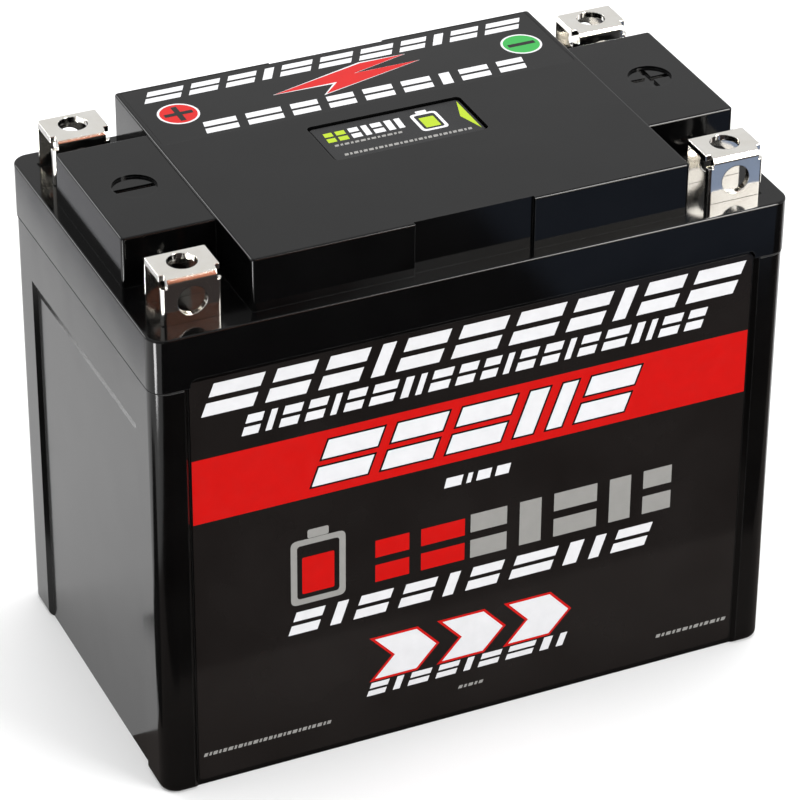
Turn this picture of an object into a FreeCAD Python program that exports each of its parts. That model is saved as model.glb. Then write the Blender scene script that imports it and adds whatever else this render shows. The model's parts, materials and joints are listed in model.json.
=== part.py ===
"""A sealed lithium motorcycle battery with four terminals and a push button.

Millimetres. +Z is up, +X runs along the long side and -Y is the front.
The origin is the middle of the underside.
"""
import FreeCAD
import Part
import math
import os

# Outside of the moulded housing
LENGTH = 150.0
WIDTH = 87.0
HEIGHT = 130.0
CORNER_RADIUS = 4.0
LABEL_THICKNESS = 0.15
OVERRUN = 1.0
OVERLAP = 0.01

# Case
CASE_INSET = 0.2
CASE_LENGTH = LENGTH - 2 * CASE_INSET
CASE_WIDTH = WIDTH - 2 * CASE_INSET
SEAM_HEIGHT = 104.7
CASE_WALL = 3.5
CASE_FLOOR = 3.0
BASE_ROUND = 1.2
RIM_CHAMFER = 0.35
INNER_RADIUS = 2.0
INNER_LENGTH = CASE_LENGTH - 2 * CASE_WALL
INNER_WIDTH = CASE_WIDTH - 2 * CASE_WALL
PANEL_DEPTH = 1.0
LONG_PANEL_HALF = 66.8
END_PANEL_HALF = 31.3
END_PANEL_TOP = 88.2
END_PANEL_RISE = 3.4
TONGUE_THICKNESS = 1.5
TONGUE_RADIUS = 3.0
TONGUE_TOP = SEAM_HEIGHT + 5.0

# Lid
SKIRT_THICKNESS = 2.0
SKIRT_NOTCH = 2.0
NOTCH_HALF = LONG_PANEL_HALF - 0.3
NOTCH_ROUND = 1.5
NOTCH_GAP = 0.2
SEAL_HEIGHT = 0.8
SHOULDER_HEIGHT = TONGUE_TOP + SEAL_HEIGHT
LEDGE_HEIGHT = 117.4
LEDGE_THICKNESS = 2.5
ROOF_THICKNESS = 2.2
HOOD_LENGTH = 102.0
HOOD_WIDTH = 80.0
HOOD_TOP = HEIGHT
WING_LENGTH = 144.4
WING_WIDTH = 40.4
WING_TOP = HOOD_TOP - 0.6
HOOD_WALL = 2.0
HOOD_RADIUS = 0.8
CAVITY_RADIUS = 1.0
EDGE_ROUND = 0.5
GRIP_LENGTH = 28.0
GRIP_DEPTH = 1.0
BOSS_RADIUS = 3.2
BOSS_HOLE_RADIUS = 1.25
BOSS_HOLE_DEPTH = 8.0

# Film let into the hood
TOP_LABEL_FRONT = 13.3
TOP_LABEL_REAR = 39.2
TOP_LABEL_HALF = 49.8
TOP_LABEL_RADIUS = 0.6
TOP_LABEL_SINK = 0.05
TOP_LABEL_GAP = 0.1

# Polarity marks sunk in the wings
MINUS_X = -61.5
PLUS_X = 62.2
PLUS_Y = 0.5
MARK_RADIUS = 5.0
MARK_DEPTH = 0.6
SIGN_LENGTH = 9.2
SIGN_WIDTH = 1.5
SIGN_DEPTH = 0.6

# Terminals
TERMINAL_X = 63.5
TERMINAL_Y = 32.4
TERMINAL_LENGTH = 13.5
TERMINAL_DEPTH = 11.4
TERMINAL_TOP = 128.8
SHEET = 1.4
BEND_RADIUS = 0.4
FRONT_CORNER_RADIUS = 0.9
REAR_CORNER_RADIUS = 1.8
BOLT_HOLE_RADIUS = 3.3
LEG_HOLE_HEIGHT = 122.4
LEG_SOCKET_DEPTH = 1.0
TAB_BOTTOM = 103.5
TAB_HOLE_HEIGHT = 106.7
TAB_HOLE_RADIUS = 2.2
NOTCH_LENGTH = 1.2
NOTCH_HEIGHT = 0.8

# Push button
BUTTON_LENGTH = 36.4
BUTTON_WIDTH = 15.6
BUTTON_GAP = 0.3
BUTTON_SINK = 0.6
BUTTON_RADIUS = 1.0
FLANGE_THICKNESS = 1.6
FLANGE_LIP = 1.6
BUTTON_TRAVEL = 0.8
BUTTON_STEM_RADIUS = 2.5
BUTTON_PIN_X = 14.0
BUTTON_PIN_RADIUS = 1.5

# Cells, two side by side in each of four groups
CELL_RADIUS = 13.05
CELL_HEIGHT = 65.5
CELL_PITCH = 27.5
CELL_BOTTOM = 30.0
CELL_TOP = CELL_BOTTOM + CELL_HEIGHT
CAP_HEIGHT = 0.7
GROUP_X = [CELL_PITCH * (index - 1.5) for index in range(4)]
ROW_Y = [CELL_PITCH * (index - 0.5) for index in range(2)]
LINK_THICKNESS = 0.5
HOLDER_LENGTH = 4 * CELL_PITCH + 2.0
HOLDER_WIDTH = 2 * CELL_PITCH + 2.0
HOLDER_FLOOR = 2.0
HOLDER_GRIP = 10.0
HOLDER_RADIUS = 3.0
LOWER_HOLDER_BOTTOM = CELL_BOTTOM - LINK_THICKNESS - HOLDER_FLOOR
LINK_TOP = CELL_TOP + LINK_THICKNESS
CARD_THICKNESS = 0.4

# Control board under the lid
BOARD_LENGTH = 90.0
BOARD_WIDTH = 68.0
BOARD_BOTTOM = 112.0
BOARD_THICKNESS = 1.6
BOARD_TOP = BOARD_BOTTOM + BOARD_THICKNESS
BOSS_X = 40.0
BOSS_Y = 29.0
BUS_THICKNESS = 1.5
BUS_WIDTH = 12.0
BUS_BOTTOM = BOARD_BOTTOM - BUS_THICKNESS
STRAP_WIDTH = 16.0
LUG_X = -BOARD_LENGTH / 2 + 4.0
STRAP_Y = 14.0
RISER_SETBACK = 2.0
RISER_FOOT = 3.0
LUG_LAP = 8.0
LUG_HOLE_RADIUS = 1.6
MOSFET_HEIGHT = 4.4
PAD_THICKNESS = 0.5
SPREADER_THICKNESS = 2.0
SPREADER_BOTTOM = BOARD_BOTTOM - MOSFET_HEIGHT - PAD_THICKNESS - SPREADER_THICKNESS
SWITCH_SIZE = 12.0
SWITCH_HEIGHT = 3.6
SWITCH_FLOOR = 0.8
LEAD_RADIUS = 0.6
LEAD_PITCH = 2.6
NUT_HEIGHT = 2.4

X_AXIS = FreeCAD.Vector(1, 0, 0)
Y_AXIS = FreeCAD.Vector(0, 1, 0)
Z_AXIS = FreeCAD.Vector(0, 0, 1)


def vec(x, y, z):
    return FreeCAD.Vector(x, y, z)


def block(x_from, x_to, y_from, y_to, z_from, z_to):
    """A box given by its limits in each direction."""
    size = (x_to - x_from, y_to - y_from, z_to - z_from)
    return Part.makeBox(*size, vec(x_from, y_from, z_from))


def centred_block(length, width, bottom, top, x=0.0, y=0.0):
    return block(x - length / 2, x + length / 2, y - width / 2, y + width / 2, bottom, top)


def edges_along(shape, axis):
    """Straight edges parallel to an axis."""
    found = []
    for edge in shape.Edges:
        direction = (edge.Vertexes[-1].Point - edge.Vertexes[0].Point)
        if direction.Length > 0 and direction.cross(axis).Length < 1e-6:
            found.append(edge)
    return found


def edges_at_height(shape, height):
    """Edges that lie in one horizontal plane."""
    found = []
    for edge in shape.Edges:
        box = edge.BoundBox
        if abs(box.ZMin - height) < 1e-4 and abs(box.ZMax - height) < 1e-4:
            found.append(edge)
    return found


def rounded_block(length, width, bottom, top, radius, x=0.0, y=0.0):
    """A box with rounded vertical edges."""
    solid = centred_block(length, width, bottom, top, x, y)
    return solid.makeFillet(radius, edges_along(solid, Z_AXIS))


def soft_block(length, width, bottom, top, radius, edge_round, x=0.0, y=0.0):
    """A rounded box whose top rim is rounded too."""
    solid = rounded_block(length, width, bottom, top, radius, x, y)
    return solid.makeFillet(edge_round, edges_at_height(solid, top))


def cylinder(radius, start, end):
    """A round bar from one point to another."""
    return Part.makeCylinder(radius, (end - start).Length, start, end - start)


def post(radius, bottom, top, x=0.0, y=0.0):
    return Part.makeCylinder(radius, top - bottom, vec(x, y, bottom), Z_AXIS)


def hexagon(across_flats, start, end):
    """A six-sided bar from one point to another."""
    direction = end - start
    rotation = FreeCAD.Rotation(Z_AXIS, direction)
    corners = []
    for index in range(7):
        angle = math.radians(60 * index)
        reach = across_flats / math.sqrt(3)
        corner = vec(reach * math.cos(angle), reach * math.sin(angle), 0)
        corners.append(start + rotation.multVec(corner))
    return Part.Face(Part.makePolygon(corners)).extrude(direction)


def join(parts):
    """One solid out of parts that touch or overlap."""
    return parts[0].multiFuse(parts[1:]).removeSplitter()


def cut(solid, tools):
    return solid.cut(Part.makeCompound(tools))


def prism(corners, sweep):
    """A flat outline pushed along a direction."""
    return Part.Face(Part.makePolygon(corners + corners[:1])).extrude(sweep)


def quarter_turns(shape, turns):
    """The shape turned about the vertical axis by a number of right angles."""
    turned = shape.copy()
    turned.rotate(vec(0, 0, 0), Z_AXIS, 90 * turns)
    return turned


def four_corners(x, y):
    return [(sx * x, sy * y) for sx in (-1, 1) for sy in (-1, 1)]


def folded_strip(path, thickness, x_from, x_to):
    """Sheet metal bent along a path of (y, z) points on its centre line."""
    half = thickness / 2
    sides = []
    for sign in (1, -1):
        side = []
        for index, point in enumerate(path):
            before = path[max(index - 1, 0)]
            after = path[min(index + 1, len(path) - 1)]
            side.append(offset_corner(before, point, after, sign * half))
        sides.append(side)
    outline = sides[0] + sides[1][::-1]
    corners = [vec(x_from, y, z) for y, z in outline + outline[:1]]
    sheet = Part.Face(Part.makePolygon(corners)).extrude(vec(x_to - x_from, 0, 0))
    for index in range(1, len(path) - 1):
        turn = turn_sign(path[index - 1], path[index], path[index + 1])
        inner = sides[0][index] if turn > 0 else sides[1][index]
        outer = sides[1][index] if turn > 0 else sides[0][index]
        sheet = sheet.makeFillet(BEND_RADIUS, [edge_through(sheet, inner)])
        sheet = sheet.makeFillet(BEND_RADIUS + thickness, [edge_through(sheet, outer)])
    return sheet


def offset_corner(before, point, after, distance):
    """Where a path corner moves when the whole path shifts to its left."""
    normals = []
    for start, end in ((before, point), (point, after)):
        run = (end[0] - start[0], end[1] - start[1])
        length = math.hypot(*run)
        if length > 0:
            normals.append((-run[1] / length, run[0] / length))
    total = [sum(normal[axis] for normal in normals) for axis in (0, 1)]
    scale = distance * len(normals) / (total[0] ** 2 + total[1] ** 2)
    return (point[0] + total[0] * scale, point[1] + total[1] * scale)


def turn_sign(before, point, after):
    """Positive when the path turns to its left."""
    first = (point[0] - before[0], point[1] - before[1])
    second = (after[0] - point[0], after[1] - point[1])
    return first[0] * second[1] - first[1] * second[0]


def edge_through(shape, corner):
    """The edge along X that passes through a (y, z) point."""
    for edge in edges_along(shape, X_AXIS):
        start = edge.Vertexes[0].Point
        if math.hypot(start.y - corner[0], start.z - corner[1]) < 1e-4:
            return edge
    raise ValueError("no edge at this corner")


def wire_run(points, radius):
    """A round wire through a list of points, with ball corners."""
    pieces = [cylinder(radius, a, b) for a, b in zip(points, points[1:])]
    pieces += [Part.makeSphere(radius, point) for point in points[1:-1]]
    return join(pieces)


def wall_pocket(half_width, bottom, top, depth, rise, face_distance):
    """A shallow panel recess in a wall facing -Y, with sloping sides and top."""
    outside = -face_distance
    inside = depth - face_distance
    plan = [
        vec(-half_width - depth, outside, bottom),
        vec(half_width + depth, outside, bottom),
        vec(half_width, inside, bottom),
        vec(-half_width, inside, bottom),
    ]
    side = [
        vec(-half_width - depth, outside, bottom),
        vec(-half_width - depth, inside, bottom),
        vec(-half_width - depth, inside, top),
        vec(-half_width - depth, outside, top + rise),
    ]
    upright = prism(plan, vec(0, 0, top + rise - bottom))
    across = prism(side, vec(2 * (half_width + depth), 0, 0))
    return upright.common(across)


def notch_block(width, gap):
    """The raised strip of panel under the lid, less a gap all round."""
    top = SEAM_HEIGHT + SKIRT_NOTCH - gap
    strip = centred_block(2 * (NOTCH_HALF - gap), width, SEAM_HEIGHT - 1, top)
    corners = [edge for edge in edges_along(strip, Y_AXIS) if edge.CenterOfMass.z > SEAM_HEIGHT]
    return strip.makeFillet(NOTCH_ROUND - gap, corners)


def make_case():
    """Open box with sunk panels and a tongue that plugs into the lid."""
    outside = rounded_block(CASE_LENGTH, CASE_WIDTH, 0, SEAM_HEIGHT, CORNER_RADIUS)
    outside = outside.makeFillet(BASE_ROUND, edges_at_height(outside, 0))
    outside = outside.makeChamfer(RIM_CHAMFER, edges_at_height(outside, SEAM_HEIGHT))
    long_face = CASE_WIDTH / 2
    end_face = CASE_LENGTH / 2
    long_panel = wall_pocket(
        LONG_PANEL_HALF, -OVERRUN, SEAM_HEIGHT + OVERRUN, PANEL_DEPTH, PANEL_DEPTH, long_face
    )
    end_panel = wall_pocket(
        END_PANEL_HALF, -OVERRUN, END_PANEL_TOP, PANEL_DEPTH, END_PANEL_RISE, end_face
    )
    panels = [quarter_turns(long_panel, turns) for turns in (0, 2)]
    panels += [quarter_turns(end_panel, turns) for turns in (1, 3)]
    outside = cut(outside, panels)
    tongue_length = INNER_LENGTH + 2 * TONGUE_THICKNESS
    tongue_width = INNER_WIDTH + 2 * TONGUE_THICKNESS
    tongue = rounded_block(tongue_length, tongue_width, CASE_FLOOR, TONGUE_TOP, TONGUE_RADIUS)
    raised = notch_block(CASE_WIDTH - 2 * PANEL_DEPTH, NOTCH_GAP)
    cavity = rounded_block(INNER_LENGTH, INNER_WIDTH, CASE_FLOOR, HEIGHT, INNER_RADIUS)
    return cut(join([outside, tongue, raised]), [cavity])


def make_lid():
    """Skirt, ledge and raised hood in one moulding."""
    skirt = soft_block(LENGTH, WIDTH, SEAM_HEIGHT, LEDGE_HEIGHT, CORNER_RADIUS, EDGE_ROUND)
    base = LEDGE_HEIGHT - OVERRUN
    hood = soft_block(HOOD_LENGTH, HOOD_WIDTH, base, HOOD_TOP, HOOD_RADIUS, EDGE_ROUND)
    wings = soft_block(WING_LENGTH, WING_WIDTH, base, WING_TOP, HOOD_RADIUS, EDGE_ROUND)
    outside = join([skirt, hood, wings])
    hollow = cut(outside, lid_cavities() + lid_notches() + lid_grips())
    with_bosses = join([hollow] + lid_bosses())
    return cut(with_bosses, lid_holes() + lid_marks() + [label_pocket()])


def lid_cavities():
    """The inside of the skirt, shoulder, hood and wings."""
    lap = 0.1
    skirt_length = LENGTH - 2 * SKIRT_THICKNESS
    skirt_width = WIDTH - 2 * SKIRT_THICKNESS
    ledge_underside = LEDGE_HEIGHT - LEDGE_THICKNESS
    return [
        rounded_block(
            skirt_length, skirt_width, SEAM_HEIGHT - OVERRUN, SHOULDER_HEIGHT, TONGUE_RADIUS
        ),
        rounded_block(
            INNER_LENGTH, INNER_WIDTH, SHOULDER_HEIGHT - lap, ledge_underside, INNER_RADIUS
        ),
        rounded_block(
            HOOD_LENGTH - 2 * HOOD_WALL,
            HOOD_WIDTH - 2 * HOOD_WALL,
            ledge_underside - lap,
            HOOD_TOP - ROOF_THICKNESS,
            CAVITY_RADIUS,
        ),
        rounded_block(
            WING_LENGTH - 2 * HOOD_WALL,
            WING_WIDTH - 2 * HOOD_WALL,
            ledge_underside - lap,
            WING_TOP - ROOF_THICKNESS,
            CAVITY_RADIUS,
        ),
    ]


def lid_notches():
    """The skirt stops higher along the middle of each long side."""
    notch = notch_block(WIDTH / 2, 0.0)
    notches = []
    for side in (-1, 1):
        placed = notch.copy()
        placed.translate(vec(0, side * (WIDTH / 2 - SKIRT_THICKNESS + WIDTH / 4), 0))
        notches.append(placed)
    return notches


def lid_grips():
    """Flat set-back in the middle of the hood's long sides."""
    outer = HOOD_WIDTH / 2 + OVERRUN
    inner = HOOD_WIDTH / 2 - GRIP_DEPTH
    half = GRIP_LENGTH / 2
    return [
        block(-half, half, -outer, -inner, LEDGE_HEIGHT, HEIGHT + OVERRUN),
        block(-half, half, inner, outer, LEDGE_HEIGHT, HEIGHT + OVERRUN),
    ]


def lid_bosses():
    """Four posts under the roof that carry the control board."""
    root = HOOD_TOP - ROOF_THICKNESS / 2
    return [post(BOSS_RADIUS, BOARD_TOP, root, x, y) for x, y in four_corners(BOSS_X, BOSS_Y)]


def label_film(bottom, top, gap):
    """Outline of the hood film, grown by a gap all round."""
    film = block(
        -TOP_LABEL_HALF - gap,
        TOP_LABEL_HALF + gap,
        TOP_LABEL_FRONT - gap,
        TOP_LABEL_REAR + gap,
        bottom,
        top,
    )
    return film.makeFillet(TOP_LABEL_RADIUS + gap, edges_along(film, Z_AXIS))


def label_pocket():
    """Shallow bed for the hood film."""
    floor = HOOD_TOP - TOP_LABEL_SINK - LABEL_THICKNESS
    return label_film(floor, HOOD_TOP + OVERRUN, TOP_LABEL_GAP)


def lid_holes():
    """The button opening, the board screw holes and the terminal slots."""
    opening = rounded_block(
        BUTTON_LENGTH + 2 * BUTTON_GAP,
        BUTTON_WIDTH + 2 * BUTTON_GAP,
        HOOD_TOP - ROOF_THICKNESS - OVERRUN,
        HEIGHT + OVERRUN,
        BUTTON_RADIUS + BUTTON_GAP,
    )
    holes = [opening]
    for x, y in four_corners(BOSS_X, BOSS_Y):
        holes.append(
            post(BOSS_HOLE_RADIUS, BOARD_TOP - OVERRUN, BOARD_TOP + BOSS_HOLE_DEPTH, x, y)
        )
    slack = 0.1
    length = TERMINAL_LENGTH + 2 * slack
    inner_leg = TERMINAL_Y - TERMINAL_DEPTH / 2 + SHEET / 2
    outer_leg = TERMINAL_Y + TERMINAL_DEPTH / 2 - SHEET / 2
    for sx, sy in four_corners(1, 1):
        x = sx * TERMINAL_X
        through = (LEDGE_HEIGHT - LEDGE_THICKNESS - OVERRUN, LEDGE_HEIGHT + OVERRUN)
        blind = (LEDGE_HEIGHT - LEG_SOCKET_DEPTH, LEDGE_HEIGHT + OVERRUN)
        width = SHEET + 2 * slack
        holes.append(centred_block(length, width, *through, x, sy * inner_leg))
        holes.append(centred_block(length, width, *blind, x, sy * outer_leg))
    return holes


def lid_marks():
    """Sunk discs with a minus on the left wing and a plus on the right."""
    floor = WING_TOP - MARK_DEPTH
    sign_floor = floor - SIGN_DEPTH
    tools = []
    for x, y in ((MINUS_X, 0.0), (PLUS_X, PLUS_Y)):
        tools.append(post(MARK_RADIUS, floor, HEIGHT, x, y))
        tools.append(centred_block(SIGN_LENGTH, SIGN_WIDTH, sign_floor, HEIGHT, x, y))
    tools.append(centred_block(SIGN_WIDTH, SIGN_LENGTH, sign_floor, HEIGHT, PLUS_X, PLUS_Y))
    return tools


def make_lid_seal():
    """Bead of sealant between the case tongue and the lid shoulder."""
    gap = 0.1
    outer = rounded_block(
        INNER_LENGTH + 2 * (TONGUE_THICKNESS - gap),
        INNER_WIDTH + 2 * (TONGUE_THICKNESS - gap),
        TONGUE_TOP,
        SHOULDER_HEIGHT,
        TONGUE_RADIUS,
    )
    inner = rounded_block(
        INNER_LENGTH + 2 * gap,
        INNER_WIDTH + 2 * gap,
        TONGUE_TOP - OVERRUN,
        SHOULDER_HEIGHT + OVERRUN,
        INNER_RADIUS,
    )
    return cut(outer, [inner])


def make_front_label():
    """Printed film in the front panel."""
    bottom = 1.4
    top = SEAM_HEIGHT + 0.6
    corner = 1.0
    face = CASE_WIDTH / 2 - PANEL_DEPTH
    film = block(-NOTCH_HALF, NOTCH_HALF, -face - LABEL_THICKNESS, -face, bottom, top)
    return film.makeFillet(corner, edges_along(film, Y_AXIS))


def make_top_label():
    """Printed film on the rear half of the hood."""
    top = HOOD_TOP - TOP_LABEL_SINK
    return label_film(top - LABEL_THICKNESS, top, 0.0)


def terminal_outline(x, y):
    """Plan of a terminal as a tall block, rounder at its rear corners."""
    solid = centred_block(TERMINAL_LENGTH, TERMINAL_DEPTH, TAB_BOTTOM, TERMINAL_TOP, x, y)
    front = [edge for edge in edges_along(solid, Z_AXIS) if edge.CenterOfMass.y < y]
    solid = solid.makeFillet(FRONT_CORNER_RADIUS, front)
    rear = [
        edge for edge in edges_along(solid, Z_AXIS)
        if edge.CenterOfMass.y > y + TERMINAL_DEPTH / 4
    ]
    return solid.makeFillet(REAR_CORNER_RADIUS, rear)


def make_terminal(side_x, side_y):
    """Folded plate in the shape of an upside-down U, with three bolt holes.

    The leg nearer the middle of the battery runs on through the lid.
    """
    centre = side_y * TERMINAL_Y
    front = centre - TERMINAL_DEPTH / 2
    rear = centre + TERMINAL_DEPTH / 2
    socket = LEDGE_HEIGHT - LEG_SOCKET_DEPTH
    front_bottom = socket if side_y < 0 else TAB_BOTTOM
    rear_bottom = TAB_BOTTOM if side_y < 0 else socket
    half = SHEET / 2
    path = [
        (front + half, front_bottom),
        (front + half, TERMINAL_TOP - half),
        (rear - half, TERMINAL_TOP - half),
        (rear - half, rear_bottom),
    ]
    x = side_x * TERMINAL_X
    x_from = x - TERMINAL_LENGTH / 2
    x_to = x + TERMINAL_LENGTH / 2
    plate = folded_strip(path, SHEET, x_from, x_to)
    plate = plate.common(terminal_outline(x, centre))
    bend = SHEET + BEND_RADIUS
    notch_y = (front - OVERRUN, front + bend)
    notch_z = (TERMINAL_TOP - bend - NOTCH_HEIGHT, TERMINAL_TOP + OVERRUN)
    inner_leg = side_y * (TERMINAL_Y - TERMINAL_DEPTH / 2)
    tools = [
        post(BOLT_HOLE_RADIUS, TERMINAL_TOP - 2 * SHEET, TERMINAL_TOP + OVERRUN, x, centre),
        cylinder(
            BOLT_HOLE_RADIUS,
            vec(x, front - OVERRUN, LEG_HOLE_HEIGHT),
            vec(x, rear + OVERRUN, LEG_HOLE_HEIGHT),
        ),
        cylinder(
            TAB_HOLE_RADIUS,
            vec(x, inner_leg - 2 * SHEET, TAB_HOLE_HEIGHT),
            vec(x, inner_leg + 2 * SHEET, TAB_HOLE_HEIGHT),
        ),
        block(x_from - OVERRUN, x_from + NOTCH_LENGTH, *notch_y, *notch_z),
        block(x_to - NOTCH_LENGTH, x_to + OVERRUN, *notch_y, *notch_z),
    ]
    return cut(plate, tools)


def make_button():
    """Press plate with a retaining flange, a stem and two guide pins."""
    top = HOOD_TOP - BUTTON_SINK
    roof_underside = HOOD_TOP - ROOF_THICKNESS
    flange_top = roof_underside - BUTTON_GAP
    flange_bottom = flange_top - FLANGE_THICKNESS
    rim_round = 0.3
    cap = soft_block(BUTTON_LENGTH, BUTTON_WIDTH, flange_bottom, top, BUTTON_RADIUS, rim_round)
    flange = rounded_block(
        BUTTON_LENGTH + 2 * FLANGE_LIP,
        BUTTON_WIDTH + 2 * FLANGE_LIP,
        flange_bottom,
        flange_top,
        BUTTON_RADIUS + FLANGE_LIP,
    )
    root = (flange_bottom + flange_top) / 2
    stem = post(BUTTON_STEM_RADIUS, plunger_top(), root)
    pins = []
    for side in (-1, 1):
        pins.append(
            post(BUTTON_PIN_RADIUS, BOARD_BOTTOM - BUTTON_TRAVEL, root, side * BUTTON_PIN_X)
        )
    return join([cap, flange, stem] + pins)


def plunger_top():
    """The plunger stands above the switch by more than the button travels."""
    reserve = 1.4
    return BOARD_TOP + SWITCH_HEIGHT + BUTTON_TRAVEL + reserve


def make_button_label():
    """Film on the press plate."""
    border = 0.4
    bottom = HOOD_TOP - BUTTON_SINK
    return rounded_block(
        BUTTON_LENGTH - 2 * border,
        BUTTON_WIDTH - 2 * border,
        bottom,
        bottom + LABEL_THICKNESS,
        0.8,
    )


def make_tact_switch():
    """Square switch housing with a round well for its plunger."""
    corner = 0.8
    rim_round = 0.3
    well_radius = 3.85
    leg_length = 1.2
    leg_width = 1.0
    leg_height = 1.5
    leg_y = 2.5
    housing_top = BOARD_TOP + SWITCH_HEIGHT
    body = soft_block(SWITCH_SIZE, SWITCH_SIZE, BOARD_TOP, housing_top, corner, rim_round)
    well = post(well_radius, BOARD_TOP + SWITCH_FLOOR, housing_top + OVERRUN)
    leg_x = SWITCH_SIZE / 2 + leg_length / 3
    leg_top = BOARD_TOP + leg_height
    legs = []
    for x, y in four_corners(leg_x, leg_y):
        legs.append(centred_block(leg_length, leg_width, BOARD_TOP, leg_top, x, y))
    return join([cut(body, [well])] + legs)


def make_switch_plunger():
    """Round plunger under the button stem."""
    collar_radius = 3.4
    stem_radius = 2.4
    cover = 0.6
    slack = 0.3
    collar_top = BOARD_TOP + SWITCH_HEIGHT - cover
    collar_bottom = BOARD_TOP + SWITCH_FLOOR + BUTTON_TRAVEL + slack
    collar = post(collar_radius, collar_bottom, collar_top)
    return join([collar, post(stem_radius, collar_bottom, plunger_top())])


def make_cell(x, y, positive_up):
    """Round cell with a crimp groove and a raised positive cap."""
    rim_round = 0.8
    crimp_radius = 1.2
    crimp_offset = 0.5
    crimp_drop = 4.5
    recess_radius = 10.8
    recess_depth = 0.6
    cap_radius = 6.0
    can_height = CELL_HEIGHT - CAP_HEIGHT
    can = post(CELL_RADIUS, 0, can_height)
    can = can.makeFillet(rim_round, edges_at_height(can, 0) + edges_at_height(can, can_height))
    crimp_centre = vec(0, 0, can_height - crimp_drop)
    crimp = Part.makeTorus(CELL_RADIUS + crimp_offset, crimp_radius, crimp_centre, Z_AXIS)
    recess = post(recess_radius, can_height - recess_depth, can_height + OVERRUN)
    cap = post(cap_radius, can_height - OVERRUN, CELL_HEIGHT)
    cell = join([cut(can, [crimp, recess]), cap])
    if not positive_up:
        cell.rotate(vec(0, 0, 0), X_AXIS, 180)
        cell.translate(vec(0, 0, CELL_HEIGHT))
    cell.translate(vec(x, y, CELL_BOTTOM))
    return cell


def make_cells():
    """Eight cells; neighbouring groups stand opposite ways up."""
    cells = {}
    for group, x in enumerate(GROUP_X):
        for row, y in enumerate(ROW_Y):
            name = "cell_%d_%s" % (group + 1, "front" if row == 0 else "rear")
            cells[name] = make_cell(x, y, group % 2 == 1)
    return cells


def cell_bores(bottom, top):
    """Round holes that the cells stand in."""
    clearance = 0.15
    return [post(CELL_RADIUS + clearance, bottom, top, x, y) for x in GROUP_X for y in ROW_Y]


def link_plate(first, last, bottom):
    """Nickel plate over the cell groups from the first to the last."""
    margin = 0.8
    corner = 2.0
    slit_width = 1.0
    slit_length = 9.0
    reach = CELL_PITCH / 2 - margin
    half_width = CELL_PITCH - margin
    top = bottom + LINK_THICKNESS
    x_from = GROUP_X[first] - reach
    x_to = GROUP_X[last] + reach
    plate = block(x_from, x_to, -half_width, half_width, bottom, top)
    plate = plate.makeFillet(corner, edges_along(plate, Z_AXIS))
    slits = []
    for x in GROUP_X[first:last + 1]:
        for y in ROW_Y:
            slits.append(
                centred_block(slit_width, slit_length, bottom - OVERRUN, top + OVERRUN, x, y)
            )
    return cut(plate, slits)


def make_links():
    """Plates that put the four groups in series."""
    low = CELL_BOTTOM - LINK_THICKNESS
    return {
        "negative_plate": link_plate(0, 0, CELL_TOP),
        "link_plate_1_2": link_plate(0, 1, low),
        "link_plate_2_3": link_plate(1, 2, CELL_TOP),
        "link_plate_3_4": link_plate(2, 3, low),
        "positive_plate": link_plate(3, 3, CELL_TOP),
    }


def plate_pockets(spans, bottom, top):
    """Room for the link plates in a holder."""
    margin = 0.6
    reach = CELL_PITCH / 2 - margin
    half_width = CELL_PITCH - margin
    pockets = []
    for first, last in spans:
        x_from = GROUP_X[first] - reach
        x_to = GROUP_X[last] + reach
        pockets.append(block(x_from, x_to, -half_width, half_width, bottom, top))
    return pockets


def make_lower_holder():
    """Tray that spaces the cells and covers the lower link plates."""
    window_radius = 8.0
    slot_half = 1.0
    slot_overlap = 4.0
    slot_drop = 2.0
    low = LOWER_HOLDER_BOTTOM
    high = CELL_BOTTOM + HOLDER_GRIP
    tray = rounded_block(HOLDER_LENGTH, HOLDER_WIDTH, low, high, HOLDER_RADIUS)
    windows = [
        post(window_radius, low - OVERRUN, CELL_BOTTOM, x, y) for x in GROUP_X for y in ROW_Y
    ]
    pockets = plate_pockets([(0, 1), (2, 3)], CELL_BOTTOM - LINK_THICKNESS, CELL_BOTTOM + OVERLAP)
    bores = cell_bores(CELL_BOTTOM, CELL_TOP)
    lead_slots = []
    for x in (-CELL_PITCH, CELL_PITCH):
        lead_slots.append(
            block(
                x - slot_half,
                x + slot_half,
                CELL_PITCH - slot_overlap,
                HOLDER_WIDTH,
                CELL_BOTTOM - slot_drop,
                CELL_BOTTOM + OVERRUN,
            )
        )
    return cut(tray, windows + pockets + bores + lead_slots)


def make_upper_holder():
    """Frame around the cell tops, flush with the upper link plates."""
    low = CELL_TOP - HOLDER_GRIP
    frame = rounded_block(HOLDER_LENGTH, HOLDER_WIDTH, low, LINK_TOP, HOLDER_RADIUS)
    pockets = plate_pockets([(0, 0), (1, 2), (3, 3)], CELL_TOP, LINK_TOP + OVERRUN)
    return cut(frame, cell_bores(CELL_BOTTOM, CELL_TOP + OVERLAP) + pockets)


def bus_strip(side_x):
    """Flat strip behind two terminals, with an ear turned down at each end."""
    inner_leg = TERMINAL_Y - TERMINAL_DEPTH / 2
    half = BUS_THICKNESS / 2
    ear_drop = 0.5
    ear_bottom = TAB_BOTTOM - ear_drop
    path = [
        (-inner_leg + half, ear_bottom),
        (-inner_leg + half, BOARD_BOTTOM - half),
        (inner_leg - half, BOARD_BOTTOM - half),
        (inner_leg - half, ear_bottom),
    ]
    x = side_x * TERMINAL_X
    strip = folded_strip(path, BUS_THICKNESS, x - BUS_WIDTH / 2, x + BUS_WIDTH / 2)
    hole = cylinder(
        TAB_HOLE_RADIUS,
        vec(x, -inner_leg - OVERRUN, TAB_HOLE_HEIGHT),
        vec(x, inner_leg + OVERRUN, TAB_HOLE_HEIGHT),
    )
    return cut(strip, [hole])


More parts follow.
